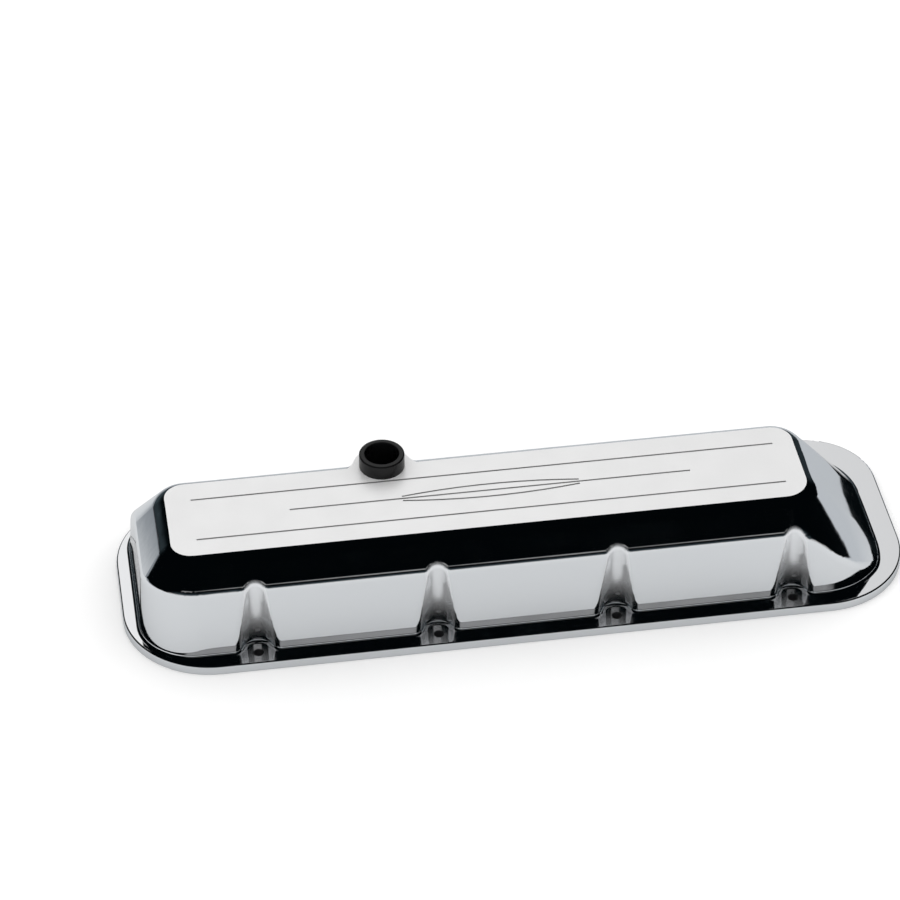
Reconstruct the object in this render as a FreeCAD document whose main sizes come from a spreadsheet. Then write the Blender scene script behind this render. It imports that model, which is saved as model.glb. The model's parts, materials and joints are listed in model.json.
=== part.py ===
"""Short cast valve cover for a big V8 engine, with its breather grommet and oil baffle.

Frame: X runs along the engine, Y from the exhaust side (front, negative) to the intake side,
Z up from the gasket face. The origin is the middle of the gasket face. Millimetres.
"""
import FreeCAD, Part
import math
import os
import Sketcher

doc = FreeCAD.newDocument("valve_cover")
sheet = doc.addObject("Spreadsheet::Sheet", "sizes")

SIZES = {
    # Mounting flange
    "flange_length": 544,
    "flange_depth": 178,
    "flange_thickness": 7,
    "flange_corner_front": 62,
    "flange_corner_back_left": 64,
    "flange_corner_back_right": 48,
    "flange_edge_round": 1.2,
    # Hold-down bolts: four along the front, three along the back
    "bolt_pitch": 122.94,
    "bolt_inset": 10.2,
    "bolt_hole": 7.1,
    "rear_pitch_ratio": 1.5,
    # Overall height and the milled top plate, as insets from the flange's edges
    "cover_height": 78,
    "plate_inset_left": 35.1,
    "plate_inset_right": 73.1,
    "plate_inset_front": 34.1,
    "plate_inset_back": 69,
    "plate_corner": 15.5,
    "crown_round": 18,
    "crown_break": 20,
    # Sloped sides that fall from the plate
    "slope_angle": 53.5,
    "slope_angle_front": 48,
    "slope_corner": 54,
    "slope_corner_front_right": 102,
    # Upright walls that cut the slopes off
    "wall_inset_left": 10,
    "wall_inset_right": 15,
    "wall_inset_sides": 10.5,
    "wall_draft": 4,
    "wall_corner_trim_left": 24,
    "wall_corner_trim_right": 13,
    "shoulder_round": 8,
    "foot_round": 2.5,
    # Casting thickness
    "wall_thickness": 4.5,
    "roof_thickness": 5,
    "inner_round": 3,
    # Scallops that clear the bolts
    "scallop_radius": 12.5,
    "scallop_draft": 5,
    "scallop_round": 6,
    # Breather boss and hole
    "breather_x": -85.9,
    "breather_boss": 20,
    "breather_boss_draft": 3,
    "breather_boss_round": 5,
    "breather_hole": 27,
    # Engraved lines on the plate
    "groove_cutter": 0.8,
    "groove_depth": 0.4,
    "groove_margin_left": 17.6,
    "groove_margin_right": 14.5,
    "groove_margin_front": 15.8,
    "groove_margin_back": 17.5,
    "motif_x": -16,
    "motif_line": 276,
    "motif_length": 150,
    "motif_height": 13,
    "motif_gap": 14,
    # Breather grommet
    "grommet_outer": 31.3,
    "grommet_bore": 22.7,
    "grommet_stand": 10.5,
    "grommet_lip": 30,
    "grommet_lip_height": 4,
    "grommet_lead": 2,
    "grommet_edge_round": 1,
    # Oil baffle, its posts and its screws
    "baffle_drop": 14,
    "baffle_sheet": 1.5,
    "baffle_length": 88,
    "baffle_width": 62,
    "baffle_corner": 7,
    "baffle_lip": 8,
    "baffle_reach_back": 10.5,
    "post_radius": 5,
    "post_margin": 8,
    "screw_diameter": 4.2,
    "screw_length": 11,
    "screw_head": 8,
    "screw_head_height": 3,
    "screw_socket": 2.5,
    "screw_socket_depth": 1.8,
    "screw_clearance": 0.2,
}
for row, (alias, value) in enumerate(SIZES.items(), start=1):
    sheet.set(f"A{row}", alias)
    sheet.set(f"B{row}", str(value))
    sheet.setAlias(f"B{row}", alias)
doc.recompute()


def number(expression):
    """Value of an expression over the sheet."""
    return float(sheet.evalExpression(expression))


def bind(thing, **expressions):
    """Tie properties of an object to expressions; placement_x and so on set its place."""
    for name, expression in expressions.items():
        name = name.replace("placement_", "Placement.Base.")
        thing.setExpression(name, expression)
    return thing


def named_sketch(name, level):
    """Empty sketch, parallel to the gasket face at a height."""
    return bind(doc.addObject("Sketcher::SketchObject", name), placement_z=level)


def rounded_outline(sketch, left, right, front, back, corners):
    """Rounded rectangle about the sketch's own origin, each side and corner tied to an expression.

    The sides are distances from the origin. The corners run front right, back right,
    back left, front left.
    """
    west, east, south, north = (number(side) for side in (left, right, front, back))
    radii = [number(corner) for corner in corners]
    centres = [
        (east - radii[0], radii[0] - south),
        (east - radii[1], north - radii[1]),
        (radii[2] - west, north - radii[2]),
        (radii[3] - west, radii[3] - south),
    ]
    ends = []
    for index, (centre, radius) in enumerate(zip(centres, radii)):
        start = (index - 1) * math.pi / 2
        circle = Part.Circle(FreeCAD.Vector(*centre, 0), FreeCAD.Vector(0, 0, 1), radius)
        arc = Part.ArcOfCircle(circle, start, start + math.pi / 2)
        sketch.addGeometry(arc, False)
        ends.append((arc.StartPoint, arc.EndPoint))
    for index in range(4):
        line = Part.LineSegment(ends[index][1], ends[(index + 1) % 4][0])
        sketch.addGeometry(line, False)
    for index in range(4):
        sketch.addConstraint(Sketcher.Constraint("Tangent", index, 2, 4 + index, 1))
        sketch.addConstraint(Sketcher.Constraint("Tangent", 4 + index, 2, (index + 1) % 4, 1))
    for side, kind in ((4, "Vertical"), (5, "Horizontal"), (6, "Vertical"), (7, "Horizontal")):
        sketch.addConstraint(Sketcher.Constraint(kind, side))
    places = (
        ("right", "DistanceX", -1, 1, 4, 1, right),
        ("back", "DistanceY", -1, 1, 5, 1, back),
        ("left", "DistanceX", 6, 1, -1, 1, left),
        ("front", "DistanceY", 7, 1, -1, 1, front),
    )
    for label, kind, first, first_point, second, second_point, expression in places:
        constraint = Sketcher.Constraint(
            kind, first, first_point, second, second_point, number(expression)
        )
        tie_constraint(sketch, constraint, label, expression)
    for index, expression in enumerate(corners):
        constraint = Sketcher.Constraint("Radius", index, radii[index])
        tie_constraint(sketch, constraint, f"corner_{index + 1}", expression)


def tie_constraint(sketch, constraint, label, expression):
    """Add a dimension, name it and tie it to an expression."""
    index = sketch.addConstraint(constraint)
    sketch.renameConstraint(index, label)
    sketch.setExpression(f"Constraints.{label}", expression)


def rounded(name, base, picked, radius_name):
    """Round the picked edges of an object by a named radius."""
    if not picked:
        raise RuntimeError(f"{name}: no edge to round")
    radius = number(f"sizes.{radius_name}")
    fillet = doc.addObject("Part::Fillet", name)
    fillet.Base = base
    fillet.Edges = [(edge, radius, radius) for edge in picked]
    doc.recompute()
    check(fillet)
    return fillet


def check(thing):
    """Stop where a step failed or left a bad shape."""
    if "Invalid" in thing.State or "Error" in thing.State:
        raise RuntimeError(f"{thing.Name}: {thing.State}")
    shape = getattr(thing, "Shape", None)
    if shape is not None and (shape.isNull() or not shape.isValid()):
        raise RuntimeError(f"{thing.Name}: bad shape")


# Slope block: from the sharp outline above the plate down to the gasket face
CROWN_TOP = "(sizes.cover_height + sizes.crown_round * (1 - cos(sizes.crown_break)))"
PLATE = {
    "left": "sizes.flange_length / 2 - sizes.plate_inset_left",
    "right": "sizes.flange_length / 2 - sizes.plate_inset_right",
    "front": "sizes.flange_depth / 2 - sizes.plate_inset_front",
    "back": "sizes.flange_depth / 2 - sizes.plate_inset_back",
}
SLOPE_ANGLES = {side: "sizes.slope_angle" for side in PLATE}
SLOPE_ANGLES["front"] = "sizes.slope_angle_front"


def slope_reach(angle, level, skin):
    """How far a slope stands out from the plate's edge at a level, under a skin of the casting."""
    crown = f"sizes.crown_round * (tan({angle} / 2) - sin(sizes.crown_break))"
    return f"{crown} + ({CROWN_TOP} - {level}) / tan({angle}) - {skin} / sin({angle})"


def slope_block(name, top, skin):
    """Block with sloped sides, from an outline at a height down to a larger one at the gasket face."""
    side_reach = slope_reach("sizes.slope_angle", top, skin)
    trim = f"{skin} / sin(sizes.slope_angle)"
    corners = {
        top: [f"sizes.plate_corner + {side_reach}"] * 4,
        "0": [f"sizes.slope_corner_front_right - {trim}"] + [f"sizes.slope_corner - {trim}"] * 3,
    }
    sections = []
    for level, radii in corners.items():
        section = named_sketch(f"{name}_section_{len(sections) + 1}", level)
        rounded_outline(
            section,
            *(f"{PLATE[side]} + {slope_reach(SLOPE_ANGLES[side], level, skin)}" for side in PLATE),
            radii,
        )
        sections.append(section)
    loft = doc.addObject("Part::Loft", name)
    loft.Sections = sections
    loft.Solid = True
    loft.Ruled = True
    return loft


def upright_block(name, insets, trims, height, draft="0"):
    """Block inside the flange's outline, its sides upright or leaning in by a draft.

    The insets run left, right, front and back, and the trims of the corners left and right.
    """
    outline = named_sketch(f"{name}_outline", "0")
    halves = ["sizes.flange_length / 2"] * 2 + ["sizes.flange_depth / 2"] * 2
    left_trim, right_trim = trims
    rounded_outline(
        outline,
        *(f"{half} - ({inset})" for half, inset in zip(halves, insets)),
        [
            f"sizes.flange_corner_front - ({right_trim})",
            f"sizes.flange_corner_back_right - ({right_trim})",
            f"sizes.flange_corner_back_left - ({left_trim})",
            f"sizes.flange_corner_front - ({left_trim})",
        ],
    )
    block = doc.addObject("Part::Extrusion", name)
    block.Base = outline
    block.DirMode = "Custom"
    block.Dir = FreeCAD.Vector(0, 0, 1)
    block.Solid = True
    return bind(block, LengthFwd=height, TaperAngle=f"-({draft})")


def boolean(kind, name, base, tool):
    """Cut or common of two objects."""
    result = doc.addObject(f"Part::{kind}", name)
    result.Base = base
    result.Tool = tool
    doc.recompute()
    check(result)
    return result


def joined(name, *shapes):
    """One object from several."""
    result = doc.addObject("Part::MultiFuse", name)
    result.Shapes = list(shapes)
    result.Refine = True
    doc.recompute()
    check(result)
    return result


def cylinder(name, x, y, z, radius, height):
    """Upright round bar."""
    bar = doc.addObject("Part::Cylinder", name)
    return bind(bar, placement_x=x, placement_y=y, placement_z=z, Radius=radius, Height=height)


def tilt_at(face, point):
    """Angle in degrees between a face's outward direction and straight up."""
    normal = face.normalAt(*face.Surface.parameter(point))
    return math.degrees(math.acos(max(-1.0, min(1.0, normal.z))))


def middle(edge):
    """Point halfway along an edge."""
    return edge.valueAt((edge.FirstParameter + edge.LastParameter) / 2)


def on_upright_cone(face, places):
    """True for the side of a cone whose axis stands at one of the places."""
    surface = face.Surface
    if surface.TypeId != "Part::GeomCone":
        return False
    axis = surface.Center
    return any(math.hypot(axis.x - x, axis.y - y) < CLOSE for x, y in places)


def cone_rim_edges(shape, places, below):
    """Edges where upright cones meet other faces, under a height and clear of the bottom."""
    picked = []
    for count, edge in enumerate(shape.Edges, start=1):
        faces = shape.ancestorsOfType(edge, Part.Face)
        sides = [on_upright_cone(face, places) for face in faces]
        if len(sides) == 2 and sides[0] != sides[1] and CLOSE < middle(edge).z < below - CLOSE:
            picked.append(count)
    return picked


def shoulder_edges(shape, wall_tilt):
    """Edges where a sloped side meets an upright wall."""
    picked = []
    for count, edge in enumerate(shape.Edges, start=1):
        faces = shape.ancestorsOfType(edge, Part.Face)
        point = middle(edge)
        tilts = sorted(tilt_at(face, point) for face in faces)
        if len(tilts) == 2 and CLOSE < tilts[0] < wall_tilt < tilts[1] < 90 + STEEP:
            picked.append(count)
    return picked


def level_edges(shape, height):
    """Edges that lie flat at a height."""
    picked = []
    for count, edge in enumerate(shape.Edges, start=1):
        heights = [vertex.Point.z for vertex in edge.Vertexes] + [middle(edge).z]
        if all(abs(level - height) < CLOSE for level in heights):
            picked.append(count)
    return picked


def foot_edges(shape, height):
    """Edges where the dome stands on the flange's upper face."""
    picked = []
    for count in level_edges(shape, height):
        edge = shape.Edges[count - 1]
        tilts = [tilt_at(face, middle(edge)) for face in shape.ancestorsOfType(edge, Part.Face)]
        if len(tilts) == 2 and min(tilts) < CLOSE and max(tilts) > STEEP:
            picked.append(count)
    return picked


CLOSE = 1e-3
STEEP = 5.0

# Outside of the dome: sloped block, crowned at its top, cut square by the walls and the mill
outer_slopes = slope_block("outer_slopes", CROWN_TOP, "0")
doc.recompute()
crown = rounded(
    "crown", outer_slopes, level_edges(outer_slopes.Shape, number(CROWN_TOP)), "crown_round"
)
WALL_INSETS = [f"sizes.wall_inset_{side}" for side in ("left", "right", "sides", "sides")]
WALL_TRIMS = [f"sizes.wall_corner_trim_{side}" for side in ("left", "right")]
walls = upright_block("walls", WALL_INSETS, WALL_TRIMS, "sizes.cover_height", "sizes.wall_draft")
doc.recompute()
dome = boolean("Common", "dome", walls, crown)
wall_tilt = 90 - number("sizes.wall_draft") - STEEP / 2
shoulder = rounded("shoulder", dome, shoulder_edges(dome.Shape, wall_tilt), "shoulder_round")

# Scallops over the hold-down bolts
BOLT_Y = "(sizes.flange_depth / 2 - sizes.bolt_inset)"
BOLTS = [(f"{step} * sizes.bolt_pitch", f"-{BOLT_Y}") for step in (-1.5, -0.5, 0.5, 1.5)]
BOLTS += [(f"{step} * sizes.rear_pitch_ratio * sizes.bolt_pitch", BOLT_Y) for step in (-1, 0, 1)]
bolt_places = [(number(x), number(y)) for x, y in BOLTS]


def scallop_cones(name, growth):
    """Upright cones over every bolt, wider by a growth."""
    cones = []
    for count, (x, y) in enumerate(BOLTS, start=1):
        cone = doc.addObject("Part::Cone", f"{name}_{count}")
        bind(
            cone,
            placement_x=x,
            placement_y=y,
            Radius1=f"sizes.scallop_radius + {growth}",
            Radius2=f"sizes.scallop_radius + {growth} - sizes.cover_height * tan(sizes.scallop_draft)",
            Height="sizes.cover_height",
        )
        cones.append(cone)
    return joined(name, *cones)


scalloped = boolean("Cut", "scalloped", shoulder, scallop_cones("scallop", "0"))
mouths = rounded(
    "mouths",
    scalloped,
    cone_rim_edges(scalloped.Shape, bolt_places, number("sizes.cover_height")),
    "scallop_round",
)

# Round boss for the breather, centred on the plate's back edge
BREATHER_X = "sizes.breather_x"
BREATHER_Y = PLATE["back"]
boss = doc.addObject("Part::Cone", "breather_boss")
boss.Placement.Rotation = FreeCAD.Rotation(FreeCAD.Vector(0, 0, 1), -90)
bind(
    boss,
    placement_x=BREATHER_X,
    placement_y=BREATHER_Y,
    placement_z="sizes.flange_thickness",
    Radius1="sizes.breather_boss + (sizes.cover_height - sizes.flange_thickness)"
    " * tan(sizes.breather_boss_draft)",
    Radius2="sizes.breather_boss",
    Height="sizes.cover_height - sizes.flange_thickness",
)
bossed = joined("bossed_dome", mouths, boss)
breather_place = [(number(BREATHER_X), number(BREATHER_Y))]
boss_foot = rounded(
    "boss_foot",
    bossed,
    cone_rim_edges(bossed.Shape, breather_place, number("sizes.cover_height")),
    "breather_boss_round",
)

# Mounting flange, its top rim broken, under the dome
flange_block = upright_block("flange_block", ["0"] * 4, ["0"] * 2, "sizes.flange_thickness")
doc.recompute()
flange = rounded(
    "flange",
    flange_block,
    level_edges(flange_block.Shape, number("sizes.flange_thickness")),
    "flange_edge_round",
)
standing = joined("standing", boss_foot, flange)
outside = rounded(
    "outside", standing, foot_edges(standing.Shape, number("sizes.flange_thickness")), "foot_round"
)

# Hollow inside: the same walls and slopes, one casting thickness further in
ROOF_UNDER = "(sizes.cover_height - sizes.roof_thickness)"
inner_slopes = slope_block("inner_slopes", ROOF_UNDER, "sizes.wall_thickness")
inner_walls = upright_block(
    "inner_walls",
    [f"{inset} + sizes.wall_thickness" for inset in WALL_INSETS],
    [f"{trim} + sizes.wall_thickness" for trim in WALL_TRIMS],
    ROOF_UNDER,
    "sizes.wall_draft",
)
doc.recompute()
inner_crown = rounded(
    "inner_crown",
    inner_slopes,
    level_edges(inner_slopes.Shape, number(ROOF_UNDER)),
    "inner_round",
)
inner_dome = boolean("Common", "inner_dome", inner_walls, inner_crown)
inner_shoulder = rounded(
    "inner_shoulder", inner_dome, shoulder_edges(inner_dome.Shape, wall_tilt), "inner_round"
)
hollow = boolean(
    "Cut", "hollow", inner_shoulder, scallop_cones("scallop_skin", "sizes.wall_thickness")
)
breather_pocket = cylinder(
    "breather_pocket",
    BREATHER_X,
    BREATHER_Y,
    f"{ROOF_UNDER} - sizes.breather_boss * tan(sizes.slope_angle)",
    "sizes.breather_boss - sizes.wall_thickness",
    "sizes.breather_boss * tan(sizes.slope_angle)",
)
opened = joined("opened_hollow", hollow, breather_pocket)

# Posts that hang from the roof and carry the baffle
BAFFLE_TOP = f"({ROOF_UNDER} - sizes.baffle_drop)"
BAFFLE_Y = f"({BREATHER_Y} + sizes.baffle_reach_back - sizes.baffle_width / 2)"
POST_X = "(sizes.baffle_length / 2 - sizes.post_margin)"
POST_Y = "(sizes.baffle_width / 2 - sizes.post_margin)"
POST_SIDES = [(along, across) for along in (-1, 1) for across in (-1, 1)]
POSTS = [
    (f"{BREATHER_X} + {along} * {POST_X}", f"{BAFFLE_Y} + {across} * {POST_Y}")
    for along, across in POST_SIDES
]
posts = joined(
    "posts",
    *(
        cylinder(f"post_{count}", x, y, BAFFLE_TOP, "sizes.post_radius", "sizes.baffle_drop")
        for count, (x, y) in enumerate(POSTS, start=1)
    ),
)
cavity = boolean("Cut", "cavity", opened, posts)
casting = boolean("Cut", "casting", outside, cavity)

# Holes for the bolts, the breather and the baffle's screws
holes = [
    cylinder(f"bolt_hole_{count}", x, y, "0", "sizes.bolt_hole / 2", "sizes.flange_thickness")
    for count, (x, y) in enumerate(BOLTS, start=1)
]
holes.append(
    cylinder(
        "breather_hole",
        BREATHER_X,
        BREATHER_Y,
        ROOF_UNDER,
        "sizes.breather_hole / 2",
        "sizes.roof_thickness",
    )
)
THREAD_DEPTH = "sizes.screw_length - sizes.baffle_sheet + sizes.screw_clearance"
holes += [
    cylinder(f"screw_hole_{count}", x, y, BAFFLE_TOP, "sizes.screw_diameter / 2", THREAD_DEPTH)
    for count, (x, y) in enumerate(POSTS, start=1)
]

# Engraved lines on the plate, cut by a ball-nosed mill
CUTTER_Z = "sizes.cover_height - sizes.groove_depth + sizes.groove_cutter"
PLATE_MIDDLE = f"(({PLATE['back']}) - ({PLATE['front']})) / 2"


def straight_groove(name, start, length, y):
    """Straight engraved line along X."""
    groove = cylinder(name, start, y, CUTTER_Z, "sizes.groove_cutter", length)
    groove.Placement.Rotation = FreeCAD.Rotation(FreeCAD.Vector(0, 1, 0), 90)
    return groove


def bowed_groove(name, side):
    """Engraved arc over the motif's length, bowed to the front (-1) or the back (1)."""
    rise = "(sizes.motif_height / 2)"
    radius = f"((sizes.motif_length ^ 2 / 4 + {rise} ^ 2) / (2 * {rise}))"
    sweep = f"(2 * asin((sizes.motif_length / 2 - sizes.motif_gap) / {radius}))"
    groove = doc.addObject("Part::Torus", name)
    groove.Placement.Rotation = FreeCAD.Rotation(FreeCAD.Vector(0, 0, 1), 90)
    bind(
        groove,
        placement_x="sizes.motif_x",
        placement_y=f"{PLATE_MIDDLE} - {side} * ({radius} - {rise})",
        placement_z=CUTTER_Z,
        Radius1=radius,
        Radius2="sizes.groove_cutter",
        Angle3=sweep,
    )
    groove.setExpression("Placement.Rotation.Angle", f"{side} * 90 deg - {sweep} / 2")
    return groove


GROOVE_START = f"sizes.groove_margin_left - ({PLATE['left']})"
GROOVE_LENGTH = f"({PLATE['right']}) - sizes.groove_margin_right - ({GROOVE_START})"
cutters = joined(
    "cutters",
    *holes,
    straight_groove(
        "groove_front",
        GROOVE_START,
        GROOVE_LENGTH,
        f"sizes.groove_margin_front - ({PLATE['front']})",
    ),
    straight_groove(
        "groove_back",
        GROOVE_START,
        GROOVE_LENGTH,
        f"({PLATE['back']}) - sizes.groove_margin_back",
    ),
    straight_groove(
        "motif_line", "sizes.motif_x - sizes.motif_line / 2", "sizes.motif_line", PLATE_MIDDLE
    ),
)
drilled = boolean("Cut", "drilled", casting, cutters)
half_engraved = boolean("Cut", "half_engraved", drilled, bowed_groove("motif_front", -1))
cover_shell = boolean("Cut", "cover_shell", half_engraved, bowed_groove("motif_back", 1))


def new_body(name, x, y, z):
    """Separate piece with its own place."""
    return bind(
        doc.addObject("PartDesign::Body", name), placement_x=x, placement_y=y, placement_z=z
    )


def body_sketch(body, name, plane):
    """Sketch on one of a body's own planes."""
    sketch = body.newObject("Sketcher::SketchObject", f"{body.Name}_{name}")
    support = next(item for item in body.Origin.OriginFeatures if item.Role == plane)
    sketch.AttachmentSupport = [(support, "")]
    sketch.MapMode = "FlatFace"
    return sketch


def closed_outline(sketch, corners):
    """Closed run of lines through corners, each tied to its two expressions."""
    points = [FreeCAD.Vector(number(x), number(y), 0) for x, y in corners]
    count = len(points)
    for index in range(count):
        line = Part.LineSegment(points[index], points[(index + 1) % count])
        sketch.addGeometry(line, False)
    for index in range(count):
        sketch.addConstraint(
            Sketcher.Constraint("Coincident", index, 2, (index + 1) % count, 1)
        )
    for index, (x, y) in enumerate(corners):
        for kind, expression in (("DistanceX", x), ("DistanceY", y)):
            constraint = Sketcher.Constraint(kind, -1, 1, index, 1, number(expression))
            tie_constraint(sketch, constraint, f"{kind}_{index + 1}", expression)


def placed_circle(sketch, count, x, y, radius):
    """Circle tied to a centre and a radius."""
    centre = FreeCAD.Vector(number(x), number(y), 0)
    circle = Part.Circle(centre, FreeCAD.Vector(0, 0, 1), number(radius))
    item = sketch.addGeometry(circle, False)
    places = (("DistanceX", x), ("DistanceY", y))
    for kind, expression in places:
        constraint = Sketcher.Constraint(kind, -1, 1, item, 3, number(expression))
        tie_constraint(sketch, constraint, f"{kind}_{count}", expression)
    constraint = Sketcher.Constraint("Radius", item, number(radius))
    tie_constraint(sketch, constraint, f"radius_{count}", radius)


def turned(body, sketch):
    """Full turn of a profile about the body's Z axis."""
    revolution = body.newObject("PartDesign::Revolution", f"{body.Name}_turned")
    revolution.Profile = sketch
    revolution.ReferenceAxis = (sketch, ["V_Axis"])
    revolution.Angle = 360
    doc.recompute()
    return revolution


# Rubber grommet in the breather hole, its groove gripping the roof
grommet = new_body("breather_grommet", BREATHER_X, BREATHER_Y, "sizes.cover_height")
GROMMET_FOOT = "-(sizes.roof_thickness + sizes.grommet_lip_height)"
grommet_profile = body_sketch(grommet, "profile", "XZ_Plane")
closed_outline(
    grommet_profile,
    [
        ("sizes.grommet_bore / 2", GROMMET_FOOT),
        ("sizes.grommet_lip / 2 - sizes.grommet_lead / 2", GROMMET_FOOT),
        ("sizes.grommet_lip / 2", f"{GROMMET_FOOT} + sizes.grommet_lead"),
        ("sizes.grommet_lip / 2", "-sizes.roof_thickness"),
        ("sizes.breather_hole / 2", "-sizes.roof_thickness"),
        ("sizes.breather_hole / 2", "0"),
        ("sizes.grommet_outer / 2", "0"),
        ("sizes.grommet_outer / 2", "sizes.grommet_stand"),
        ("sizes.grommet_bore / 2", "sizes.grommet_stand"),
    ],
)
grommet_ring = turned(grommet, grommet_profile)
rim = grommet.newObject("PartDesign::Fillet", "grommet_rim")
stand = number("sizes.grommet_stand")
rim.Base = (
    grommet_ring, [f"Edge{count}" for count in level_edges(grommet_ring.Shape, stand)]
)
bind(rim, Radius="sizes.grommet_edge_round")

# Sheet baffle under the breather, its long edges turned down
baffle = new_body("oil_baffle", BREATHER_X, BAFFLE_Y, BAFFLE_TOP)
sheet_outline = body_sketch(baffle, "outline", "XY_Plane")
rounded_outline(
    sheet_outline,
    "sizes.baffle_length / 2",
    "sizes.baffle_length / 2",
    "sizes.baffle_width / 2",
    "sizes.baffle_width / 2",
    ["sizes.baffle_corner"] * 4,
)
sheet_pad = baffle.newObject("PartDesign::Pad", "baffle_sheet_pad")
sheet_pad.Profile = sheet_outline
sheet_pad.Reversed = True
bind(sheet_pad, Length="sizes.baffle_sheet")
LIP_END = "(sizes.baffle_length / 2 - sizes.baffle_corner)"
for side, label in ((-1, "front"), (1, "back")):
    lip_sketch = body_sketch(baffle, f"{label}_lip", "XY_Plane")
    rim_y = f"{side} * sizes.baffle_width / 2"
    inner_y = f"{side} * (sizes.baffle_width / 2 - sizes.baffle_sheet)"
    closed_outline(
        lip_sketch,
        [(f"-{LIP_END}", rim_y), (LIP_END, rim_y), (LIP_END, inner_y), (f"-{LIP_END}", inner_y)],
    )
    lip_pad = baffle.newObject("PartDesign::Pad", f"baffle_{label}_lip_pad")
    lip_pad.Profile = lip_sketch
    lip_pad.Reversed = True
    bind(lip_pad, Length="sizes.baffle_lip")
screw_circles = body_sketch(baffle, "screw_circles", "XY_Plane")
for count, (along, across) in enumerate(POST_SIDES, start=1):
    placed_circle(
        screw_circles,
        count,
        f"{along} * {POST_X}",
        f"{across} * {POST_Y}",
        "sizes.screw_diameter / 2 + sizes.screw_clearance",
    )
screw_holes = baffle.newObject("PartDesign::Pocket", "baffle_screw_holes")
screw_holes.Profile = screw_circles
bind(screw_holes, Length="sizes.baffle_sheet")

# Screws that hold the baffle up against the posts
SOCKET_REACH = "(sizes.screw_socket / 2 / cos(30))"
for count, (x, y) in enumerate(POSTS, start=1):
    screw = new_body(f"baffle_screw_{count}", x, y, f"{BAFFLE_TOP} - sizes.baffle_sheet")
    profile = body_sketch(screw, "profile", "XZ_Plane")
    closed_outline(
        profile,
        [
            ("0", "-sizes.screw_head_height"),
            ("sizes.screw_head / 2", "-sizes.screw_head_height"),
            ("sizes.screw_head / 2", "0"),
            ("sizes.screw_diameter / 2", "0"),
            ("sizes.screw_diameter / 2", "sizes.screw_length"),
            ("0", "sizes.screw_length"),
        ],
    )
    turned(screw, profile)
    hexagon = body_sketch(screw, "socket", "XY_Plane")
    closed_outline(
        hexagon,
        [
            (f"{SOCKET_REACH} * cos({60 * corner})", f"{SOCKET_REACH} * sin({60 * corner})")
            for corner in range(6)
        ],
    )
    hexagon.setExpression("AttachmentOffset.Base.z", "-sizes.screw_head_height")
    socket = screw.newObject("PartDesign::Pocket", f"{screw.Name}_socket_cut")
    socket.Profile = hexagon
    socket.Reversed = True
    bind(socket, Length="sizes.screw_socket_depth")

NODES = [cover_shell] + [thing for thing in doc.Objects if thing.TypeId == "PartDesign::Body"]
doc.recompute()
for thing in doc.Objects:
    check(thing)
os.makedirs("parts", exist_ok=True)
for node in NODES:
    node.Label = node.Name
    node.Shape.exportStep(f"parts/{node.Label}.step")
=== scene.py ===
"""Looks of the cast valve cover: polished casting, rubber grommet, plated baffle and screws."""
import json
import math

import bpy
from mathutils import Euler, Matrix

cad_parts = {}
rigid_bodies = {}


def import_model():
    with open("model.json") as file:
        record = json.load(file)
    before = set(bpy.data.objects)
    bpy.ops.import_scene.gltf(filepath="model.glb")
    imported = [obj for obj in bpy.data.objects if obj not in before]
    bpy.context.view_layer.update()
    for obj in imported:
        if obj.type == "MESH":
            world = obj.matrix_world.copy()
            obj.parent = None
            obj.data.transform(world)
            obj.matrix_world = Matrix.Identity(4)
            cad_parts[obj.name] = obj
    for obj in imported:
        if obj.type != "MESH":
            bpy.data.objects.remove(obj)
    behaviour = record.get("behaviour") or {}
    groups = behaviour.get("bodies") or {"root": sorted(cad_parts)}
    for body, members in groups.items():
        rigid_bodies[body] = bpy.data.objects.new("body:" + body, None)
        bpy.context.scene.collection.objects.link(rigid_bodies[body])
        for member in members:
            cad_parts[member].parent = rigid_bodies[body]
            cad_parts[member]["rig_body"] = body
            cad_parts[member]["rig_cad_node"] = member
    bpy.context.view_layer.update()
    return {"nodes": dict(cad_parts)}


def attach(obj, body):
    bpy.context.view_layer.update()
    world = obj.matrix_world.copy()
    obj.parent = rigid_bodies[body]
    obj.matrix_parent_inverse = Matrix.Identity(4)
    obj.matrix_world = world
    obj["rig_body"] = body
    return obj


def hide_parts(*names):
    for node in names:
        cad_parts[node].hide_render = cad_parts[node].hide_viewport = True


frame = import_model()

# Places and sizes on the casting, in metres

COVER_TOP = 0.078
GROOVE_DEPTH = 0.0006
PLATE_MIDDLE = ((-0.230, 0.192), (-0.048, 0.013))
BREATHER = (-0.0859, 0.0200)
BREATHER_REACH = 0.0136
BOLT_PITCH = 0.12294
BACK_PITCH = 1.5 * BOLT_PITCH
BOLT_ROW = 0.0788
BOLT_HOLE = 0.0071
SCALLOP = 0.0125
SCALLOP_TAPER = 0.0875
MASK_INNER = SCALLOP + 0.0003
MASK_OUTER = SCALLOP + 0.0025
MASK_FOOT = (0.008, 0.036)
SLACK = 1e-5

# Slots of the casting's finishes

POLISHED, MILLED, RAW, DRILLED, ENGRAVED = range(5)


# Nodes

def add_node(tree, kind, **settings):
    """Node with its properties set."""
    made = tree.nodes.new(kind)
    for name, value in settings.items():
        setattr(made, name, value)
    return made


def feed(tree, socket, value):
    """Link an output to a socket, or set the socket to a plain value."""
    if isinstance(value, bpy.types.NodeSocket):
        tree.links.new(value, socket)
    else:
        socket.default_value = value


def calculate(tree, operation, *values):
    """Result of a Math node."""
    made = add_node(tree, "ShaderNodeMath", operation=operation)
    for socket, value in zip(made.inputs, values):
        feed(tree, socket, value)
    return made.outputs[0]


def distance(tree, first, second):
    """Straight distance over two lengths at right angles."""
    squares = [calculate(tree, "MULTIPLY", side, side) for side in (first, second)]
    return calculate(tree, "SQRT", calculate(tree, "ADD", *squares))


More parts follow.
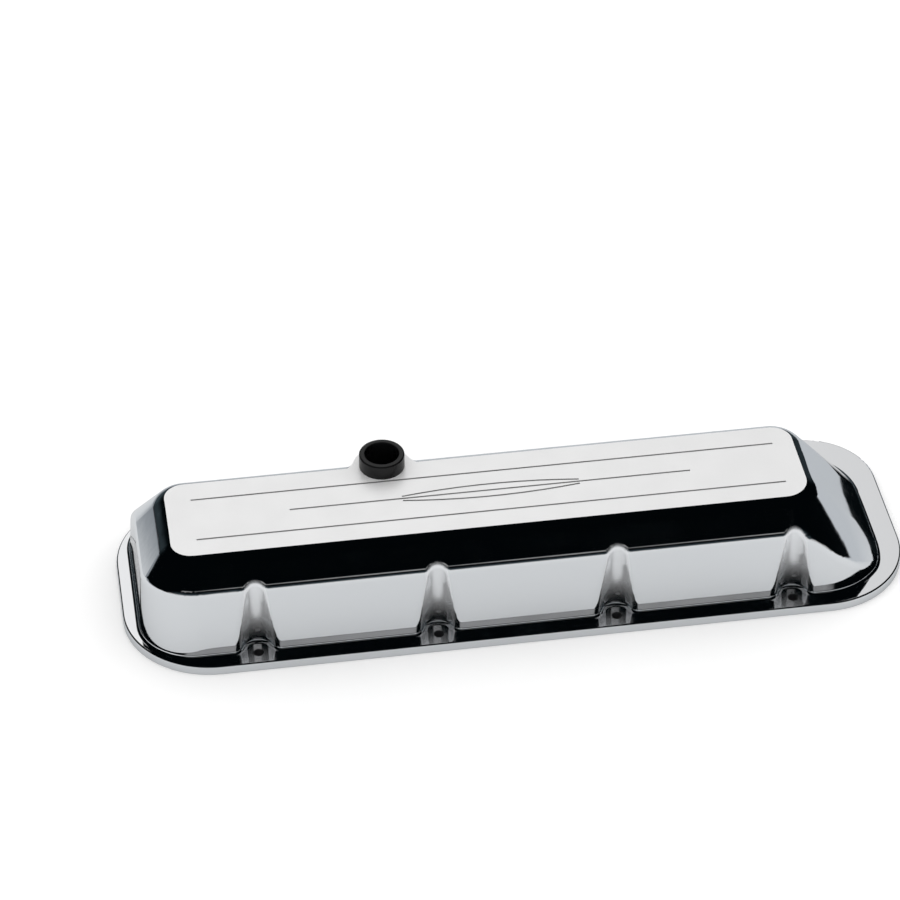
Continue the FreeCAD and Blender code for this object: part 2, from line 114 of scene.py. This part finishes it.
def ramp(tree, value, low, high, to_low=0.0, to_high=1.0):
    """Smooth step of a value from low to high."""
    made = add_node(tree, "ShaderNodeMapRange", interpolation_type="SMOOTHSTEP")
    for socket, number in zip(made.inputs, (value, low, high, to_low, to_high)):
        feed(tree, socket, number)
    return made.outputs[0]


def blend_colours(tree, mask, first, second):
    """Colour between two, by a mask."""
    made = add_node(tree, "ShaderNodeMix", data_type="RGBA")
    for socket, value in zip((made.inputs[0], made.inputs[6], made.inputs[7]), (mask, first, second)):
        feed(tree, socket, value)
    return made.outputs[2]


def split(tree, vector):
    """The three parts of a vector."""
    made = add_node(tree, "ShaderNodeSeparateXYZ")
    feed(tree, made.inputs[0], vector)
    return made.outputs


def new_group(name, inputs, outputs):
    """Node group with named inputs, each with its kind and value, and named outputs."""
    group = bpy.data.node_groups.new(name, "ShaderNodeTree")
    for label, kind, value in inputs:
        socket = group.interface.new_socket(label, in_out="INPUT", socket_type=kind)
        socket.default_value = value
    for label in outputs:
        group.interface.new_socket(label, in_out="OUTPUT", socket_type="NodeSocketFloat")
    given = add_node(group, "NodeGroupInput").outputs
    result = add_node(group, "NodeGroupOutput").inputs
    return group, given, result


def place_group(tree, group, **values):
    """Outputs of a group placed in a material; an underscore stands for a space in an input's name."""
    made = add_node(tree, "ShaderNodeGroup", node_tree=group)
    for name, value in values.items():
        feed(tree, made.inputs[name.replace("_", " ")], value)
    return made.outputs


# Effects that several finishes share

def build_streaks():
    """Fine parallel marks: their height, and a slower value that varies over the surface."""
    across = ("Across", "NodeSocketVector", (1.0, 1.0, 1.0))
    scale = ("Scale", "NodeSocketFloat", 1.0)
    group, given, result = new_group("fine streaks", [across, scale], ["Height", "Patch"])
    place = add_node(group, "ShaderNodeTexCoord").outputs["Object"]
    spread = add_node(group, "ShaderNodeVectorMath", operation="MULTIPLY")
    feed(group, spread.inputs[0], place)
    feed(group, spread.inputs[1], given["Across"])
    lines = add_node(group, "ShaderNodeTexNoise")
    feed(group, lines.inputs["Vector"], spread.outputs[0])
    feed(group, lines.inputs["Scale"], given["Scale"])
    feed(group, lines.inputs["Detail"], 4.0)
    feed(group, lines.inputs["Roughness"], 0.65)
    cloud = add_node(group, "ShaderNodeTexNoise")
    feed(group, cloud.inputs["Vector"], place)
    feed(group, cloud.inputs["Scale"], 38.0)
    feed(group, cloud.inputs["Detail"], 3.0)
    feed(group, result["Height"], lines.outputs[0])
    feed(group, result["Patch"], cloud.outputs[0])
    return group


def build_scallop_mask():
    """Mask of the scallops over the bolts: 1 inside them, fading out past their mouths."""
    group, _, result = new_group("scallop mask", [], ["Mask"])
    place = add_node(group, "ShaderNodeTexCoord").outputs["Object"]
    along, across, height = split(group, place)
    rows = ((BOLT_PITCH / 2, BOLT_PITCH / 2, -BOLT_ROW), (0.0, BACK_PITCH / 2, BOLT_ROW))
    reaches = []
    for start, half_step, row in rows:
        aside = calculate(group, "PINGPONG", calculate(group, "ADD", along, start), half_step)
        off = calculate(group, "SUBTRACT", across, row)
        reaches.append(distance(group, aside, off))
    reach = calculate(group, "MINIMUM", *reaches)
    widened = calculate(group, "MULTIPLY_ADD", height, SCALLOP_TAPER, reach)
    near = ramp(group, widened, MASK_INNER, MASK_OUTER, 1.0, 0.0)
    raised = ramp(group, height, *MASK_FOOT)
    feed(group, result["Mask"], calculate(group, "MULTIPLY", near, raised))
    return group


STREAKS = build_streaks()
SCALLOP_MASK = build_scallop_mask()


# Finishes

def new_material(name):
    """Material with its node tree and its Principled BSDF."""
    made = bpy.data.materials.new(name)
    made.use_nodes = True
    tree = made.node_tree
    return made, tree, tree.nodes["Principled BSDF"]


def bump_up(tree, height, depth):
    """Bump node fed by a height, with its depth in metres."""
    made = add_node(tree, "ShaderNodeBump")
    feed(tree, made.inputs["Height"], height)
    feed(tree, made.inputs["Distance"], depth)
    return made


def polished_aluminium():
    """Buffed casting: mirror bright, with fine upright buffing marks and a slight wave."""
    made, tree, shader = new_material("polished aluminium")
    marks = place_group(tree, STREAKS, Across=(1.0, 1.0, 0.04), Scale=900.0)
    wave = place_group(tree, STREAKS, Across=(1.0, 1.0, 0.45), Scale=22.0)
    scallop = place_group(tree, SCALLOP_MASK)["Mask"]
    haze = ramp(tree, marks["Patch"], 0.35, 0.7, 0.045, 0.085)
    feed(tree, shader.inputs["Base Color"], (0.90, 0.91, 0.925, 1.0))
    feed(tree, shader.inputs["Metallic"], calculate(tree, "MULTIPLY_ADD", scallop, -0.3, 1.0))
    feed(tree, shader.inputs["Roughness"], calculate(tree, "MULTIPLY_ADD", scallop, 0.18, haze))
    fine = bump_up(tree, marks["Height"], 0.000004)
    slow = bump_up(tree, wave["Height"], 0.0001)
    feed(tree, slow.inputs["Normal"], fine.outputs[0])
    feed(tree, shader.inputs["Normal"], slow.outputs[0])
    return made


def milled_aluminium():
    """Face cut by a mill: satin, with fine marks along the cover."""
    made, tree, shader = new_material("milled aluminium")
    marks = place_group(tree, STREAKS, Across=(0.02, 1.0, 1.0), Scale=1400.0)
    feed(tree, shader.inputs["Base Color"], (0.97, 0.97, 0.97, 1.0))
    feed(tree, shader.inputs["Metallic"], 0.4)
    feed(tree, shader.inputs["Roughness"], ramp(tree, marks["Patch"], 0.3, 0.7, 0.36, 0.4))
    feed(tree, shader.inputs["Normal"], bump_up(tree, marks["Height"], 0.000006).outputs[0])
    return made


def matt_aluminium(name, dark, light):
    """Aluminium left matt: grainy grey."""
    made, tree, shader = new_material(name)
    grains = place_group(tree, STREAKS, Across=(1.0, 1.0, 1.0), Scale=1100.0)
    tone = ramp(tree, grains["Patch"], 0.3, 0.7)
    shade = blend_colours(tree, tone, (dark, dark, dark, 1.0), (light, light, light, 1.0))
    feed(tree, shader.inputs["Base Color"], shade)
    feed(tree, shader.inputs["Metallic"], 0.85)
    feed(tree, shader.inputs["Roughness"], 0.55)
    feed(tree, shader.inputs["Normal"], bump_up(tree, grains["Height"], 0.00025).outputs[0])
    return made


def shaded_drilled_hole():
    """Wall of a drilled bolt hole: dull, and coloured near black as painted shade deep in the hole."""
    made, tree, shader = new_material("drilled hole with painted shade")
    rings = place_group(tree, STREAKS, Across=(0.1, 0.1, 1.0), Scale=1600.0)
    # Near-black colour: painted shade inside the hole.
    feed(tree, shader.inputs["Base Color"], (0.035, 0.036, 0.038, 1.0))
    feed(tree, shader.inputs["Metallic"], 0.6)
    feed(tree, shader.inputs["Roughness"], 0.55)
    feed(tree, shader.inputs["Normal"], bump_up(tree, rings["Height"], 0.00005).outputs[0])
    return made


def black_rubber():
    """Moulded rubber: black, with a soft gloss."""
    made, tree, shader = new_material("black rubber")
    skin = place_group(tree, STREAKS, Across=(1.0, 1.0, 1.0), Scale=420.0)
    tone = ramp(tree, skin["Patch"], 0.35, 0.65)
    shade = blend_colours(tree, tone, (0.002, 0.002, 0.0022, 1.0), (0.005, 0.005, 0.0055, 1.0))
    feed(tree, shader.inputs["Base Color"], shade)
    feed(tree, shader.inputs["Roughness"], ramp(tree, skin["Patch"], 0.3, 0.7, 0.24, 0.32))
    feed(tree, shader.inputs["Specular IOR Level"], 0.35)
    feed(tree, shader.inputs["Normal"], bump_up(tree, skin["Height"], 0.00003).outputs[0])
    return made


def zinc_plate(name, across, scale):
    """Zinc-plated steel with rolling or turning marks."""
    made, tree, shader = new_material(name)
    marks = place_group(tree, STREAKS, Across=across, Scale=scale)
    tone = ramp(tree, marks["Patch"], 0.3, 0.7)
    shade = blend_colours(tree, tone, (0.56, 0.55, 0.52, 1.0), (0.68, 0.67, 0.65, 1.0))
    feed(tree, shader.inputs["Base Color"], shade)
    feed(tree, shader.inputs["Metallic"], 1.0)
    feed(tree, shader.inputs["Roughness"], ramp(tree, marks["Patch"], 0.3, 0.7, 0.28, 0.4))
    feed(tree, shader.inputs["Normal"], bump_up(tree, marks["Height"], 0.00002).outputs[0])
    return made


# Casting: the same surface as the solid, its faces sorted by finish

def corner_places(mesh, face):
    """Places of a face's corners, rounded so that faces that meet share them."""
    return [tuple(round(value, 6) for value in mesh.vertices[corner].co) for corner in face.vertices]


def height_span(mesh, face):
    """Lowest and highest corner of a face."""
    heights = [mesh.vertices[corner].co.z for corner in face.vertices]
    return min(heights), max(heights)


def closes_hollow(mesh, face):
    """True for a face that bounds the hollow: the gasket face and the breather hole's wall."""
    off_breather = math.hypot(face.center.x - BREATHER[0], face.center.y - BREATHER[1])
    in_hole = off_breather < BREATHER_REACH and abs(face.normal.z) < 0.5
    return height_span(mesh, face)[1] < SLACK or in_hole


def hollow_faces(mesh):
    """Faces inside the cover: all that join the roof's underside, the highest that faces down."""
    meeting = {}
    for face in mesh.polygons:
        for place in corner_places(mesh, face):
            meeting.setdefault(place, []).append(face)
    facing_down = [face for face in mesh.polygons if face.normal.z < -0.9]
    start = max(facing_down, key=lambda face: face.center.z)
    found = {start.index}
    waiting = [start]
    while waiting:
        for place in corner_places(mesh, waiting.pop()):
            for other in meeting[place]:
                if other.index not in found and not closes_hollow(mesh, other):
                    found.add(other.index)
                    waiting.append(other)
    return found


def in_bolt_hole(point):
    """True for a point on the wall of a bolt hole."""
    front = abs((point.x / BOLT_PITCH) % 1 - 0.5) * BOLT_PITCH
    back = abs((point.x / BACK_PITCH + 0.5) % 1 - 0.5) * BACK_PITCH
    aside, row = (front, -BOLT_ROW) if point.y < 0 else (back, BOLT_ROW)
    return math.hypot(aside, point.y - row) < BOLT_HOLE / 2 + SLACK


def in_plate_middle(point):
    """True for a point well inside the plate's edge, where the engraved lines are."""
    (left, right), (front, back) = PLATE_MIDDLE
    return left < point.x < right and front < point.y < back


def finish_slot(mesh, face, inside):
    """Slot of a face's finish, by where it lies on the casting."""
    low, high = height_span(mesh, face)
    if face.index in inside:
        return RAW
    if low > COVER_TOP - SLACK or high < SLACK:
        return MILLED
    if low > COVER_TOP - GROOVE_DEPTH and in_plate_middle(face.center):
        return ENGRAVED
    if in_bolt_hole(face.center):
        return DRILLED
    return POLISHED


def finish_casting():
    """Casting with a finish for each kind of surface."""
    node = frame["nodes"]["cover_shell"]
    casting = node.copy()
    casting.data = node.data.copy()
    casting.name = "polished_casting"
    casting.parent = None
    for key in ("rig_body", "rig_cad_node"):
        if key in casting:
            del casting[key]
    bpy.context.scene.collection.objects.link(casting)
    mesh = casting.data
    mesh.materials.clear()
    finishes = {
        POLISHED: polished_aluminium(),
        MILLED: milled_aluminium(),
        RAW: matt_aluminium("raw casting", 0.36, 0.50),
        DRILLED: shaded_drilled_hole(),
        ENGRAVED: matt_aluminium("engraved line", 0.66, 0.76),
    }
    for slot in sorted(finishes):
        mesh.materials.append(finishes[slot])
    inside = hollow_faces(mesh)
    for face in mesh.polygons:
        face.material_index = finish_slot(mesh, face, inside)
    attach(casting, "root")
    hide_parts("cover_shell")


def finish_small_pieces():
    """Grommet, baffle and screws keep their own meshes and get their finishes."""
    finishes = {
        "breather_grommet": black_rubber(),
        "oil_baffle": zinc_plate("zinc sheet", (0.05, 1.0, 1.0), 700.0),
    }
    screw_finish = zinc_plate("zinc screw", (1.0, 1.0, 0.3), 900.0)
    for name, node in frame["nodes"].items():
        if name != "cover_shell":
            node.material_slots[0].material = finishes.get(name, screw_finish)


# Stage

def floor_finish():
    """Pale floor: white to the camera; in reflections its colour is painted shade by place, lighter in
    front of the cover, darker behind it, darkest to its left behind, near black far off.
    """
    made, tree, shader = new_material("pale floor")
    tree.nodes.remove(shader)
    path = add_node(tree, "ShaderNodeLightPath").outputs
    place = add_node(tree, "ShaderNodeNewGeometry").outputs["Position"]
    across, back, _ = split(tree, place)
    # Glossy rays see painted shade on the floor: the tone near the cover, darker behind it, darkest to
    # its left behind, near black beyond 2.6 m.
    near = ramp(tree, distance(tree, across, back), 1.2, 2.6, 1.0, 0.0)
    shade_back = ramp(tree, calculate(tree, "MULTIPLY_ADD", across, 0.35, back), 0.0, 0.2)
    shade_left_back = ramp(tree, calculate(tree, "MULTIPLY_ADD", across, -0.6, back), 0.4, 0.7)
    tone = blend_colours(tree, shade_back, (0.68, 0.695, 0.705, 1.0), (0.49, 0.515, 0.54, 1.0))
    tone = blend_colours(tree, shade_left_back, tone, (0.22, 0.24, 0.26, 1.0))
    tone = blend_colours(tree, near, (0.02, 0.021, 0.023, 1.0), tone)
    # The camera sees plain white; reflections see the painted-shade tone.
    colour = blend_colours(tree, path["Is Glossy Ray"], (0.93, 0.93, 0.93, 1.0), tone)
    matt = add_node(tree, "ShaderNodeBsdfDiffuse")
    feed(tree, matt.inputs["Color"], colour)
    glow = add_node(tree, "ShaderNodeEmission")
    feed(tree, glow.inputs["Color"], (1.0, 1.0, 1.0, 1.0))
    feed(tree, glow.inputs["Strength"], calculate(tree, "MULTIPLY", path["Is Camera Ray"], 0.16))
    both = add_node(tree, "ShaderNodeAddShader")
    feed(tree, both.inputs[0], matt.outputs[0])
    feed(tree, both.inputs[1], glow.outputs[0])
    feed(tree, tree.nodes["Material Output"].inputs["Surface"], both.outputs[0])
    return made


def lay_floor():
    """Large floor at the gasket face."""
    bpy.ops.mesh.primitive_plane_add(size=16.0, location=(0.0, 0.0, 0.0))
    floor = bpy.context.object
    floor.name = "floor"
    floor.data.materials.append(floor_finish())


def build_card():
    """Mask of a soft-edged card in the room, by the direction to it in degrees."""
    names = ("Azimuth", "Elevation", "Left", "Right", "Bottom", "Top", "Side edge", "Level edge")
    inputs = [(name, "NodeSocketFloat", 0.0) for name in names]
    group, given, result = new_group("soft card", inputs, ["Mask"])
    mask = 1.0
    spans = (("Azimuth", "Left", "Right", "Side edge"), ("Elevation", "Bottom", "Top", "Level edge"))
    for value, low, high, edge in spans:
        inner_low = calculate(group, "ADD", given[low], given[edge])
        inner_high = calculate(group, "SUBTRACT", given[high], given[edge])
        past_low = ramp(group, given[value], given[low], inner_low)
        before_high = ramp(group, given[value], inner_high, given[high], 1.0, 0.0)
        for side in (past_low, before_high):
            mask = calculate(group, "MULTIPLY", mask, side)
    feed(group, result["Mask"], mask)
    return group


# Left, right, bottom, top, side edge and level edge in degrees, brightness at the left and right end

CARDS = (
    (-12.0, 30.0, 20.0, 66.0, 6.0, 5.0, 0.97, 0.64),
    (120.0, 190.0, -30.0, 6.0, 10.0, 6.0, 0.6, 0.6),
    (-190.0, -120.0, -30.0, 6.0, 10.0, 6.0, 0.6, 0.6),
    (150.0, 190.0, 30.5, 38.0, 10.0, 3.0, 0.28, 0.28),
    (-190.0, -150.0, 30.5, 38.0, 10.0, 3.0, 0.28, 0.28),
)


def light_room():
    """White to the camera, even light on matt surfaces, dark room with cards in reflections."""
    world = bpy.data.worlds.new("studio")
    bpy.context.scene.world = world
    world.use_nodes = True
    world.cycles.sampling_method = "NONE"
    tree = world.node_tree
    tree.nodes.clear()
    toward = add_node(tree, "ShaderNodeVectorMath", operation="NORMALIZE")
    feed(tree, toward.inputs[0], add_node(tree, "ShaderNodeTexCoord").outputs["Generated"])
    x, y, z = split(tree, toward.outputs[0])
    elevation = calculate(tree, "DEGREES", calculate(tree, "ARCSINE", z))
    azimuth = calculate(tree, "DEGREES", calculate(tree, "ARCTAN2", x, y))
    middle = ramp(tree, calculate(tree, "ABSOLUTE", x), 0.5, 0.8, 1.0, 0.0)
    low = calculate(tree, "MULTIPLY", ramp(tree, elevation, 3.0, 26.0, 1.0, 0.0), middle)
    room = blend_colours(tree, low, (0.0007, 0.0014, 0.0019, 1.0), (0.042, 0.058, 0.066, 1.0))
    card_group = build_card()
    for left, right, bottom, top, side_edge, level_edge, first, last in CARDS:
        card = place_group(
            tree,
            card_group,
            Azimuth=azimuth,
            Elevation=elevation,
            Left=left,
            Right=right,
            Bottom=bottom,
            Top=top,
            Side_edge=side_edge,
            Level_edge=level_edge,
        )
        room = blend_colours(tree, card["Mask"], room, ramp(tree, azimuth, left, right, first, last))
    path = add_node(tree, "ShaderNodeLightPath").outputs
    seen = blend_colours(tree, path["Is Glossy Ray"], (1.05, 1.05, 1.05, 1.0), room)
    seen = blend_colours(tree, path["Is Camera Ray"], seen, (1.0, 1.0, 1.0, 1.0))
    sky = add_node(tree, "ShaderNodeBackground")
    feed(tree, sky.inputs["Color"], seen)
    feed(tree, add_node(tree, "ShaderNodeOutputWorld").inputs["Surface"], sky.outputs[0])


def set_camera():
    """Camera at the photograph's place and angle."""
    data = bpy.data.cameras.new("camera")
    data.lens = 140.283
    data.sensor_width = 36.0
    data.clip_end = 50.0
    camera = bpy.data.objects.new("camera", data)
    camera.location = (-0.322365, -1.825901, 1.606559)
    camera.rotation_euler = Euler((math.radians(50.84), 0.0, math.radians(-8.74)))
    bpy.context.scene.collection.objects.link(camera)
    bpy.context.scene.camera = camera


finish_casting()
finish_small_pieces()
lay_floor()
light_room()
set_camera()
bpy.context.scene.view_settings.view_transform = "Standard"
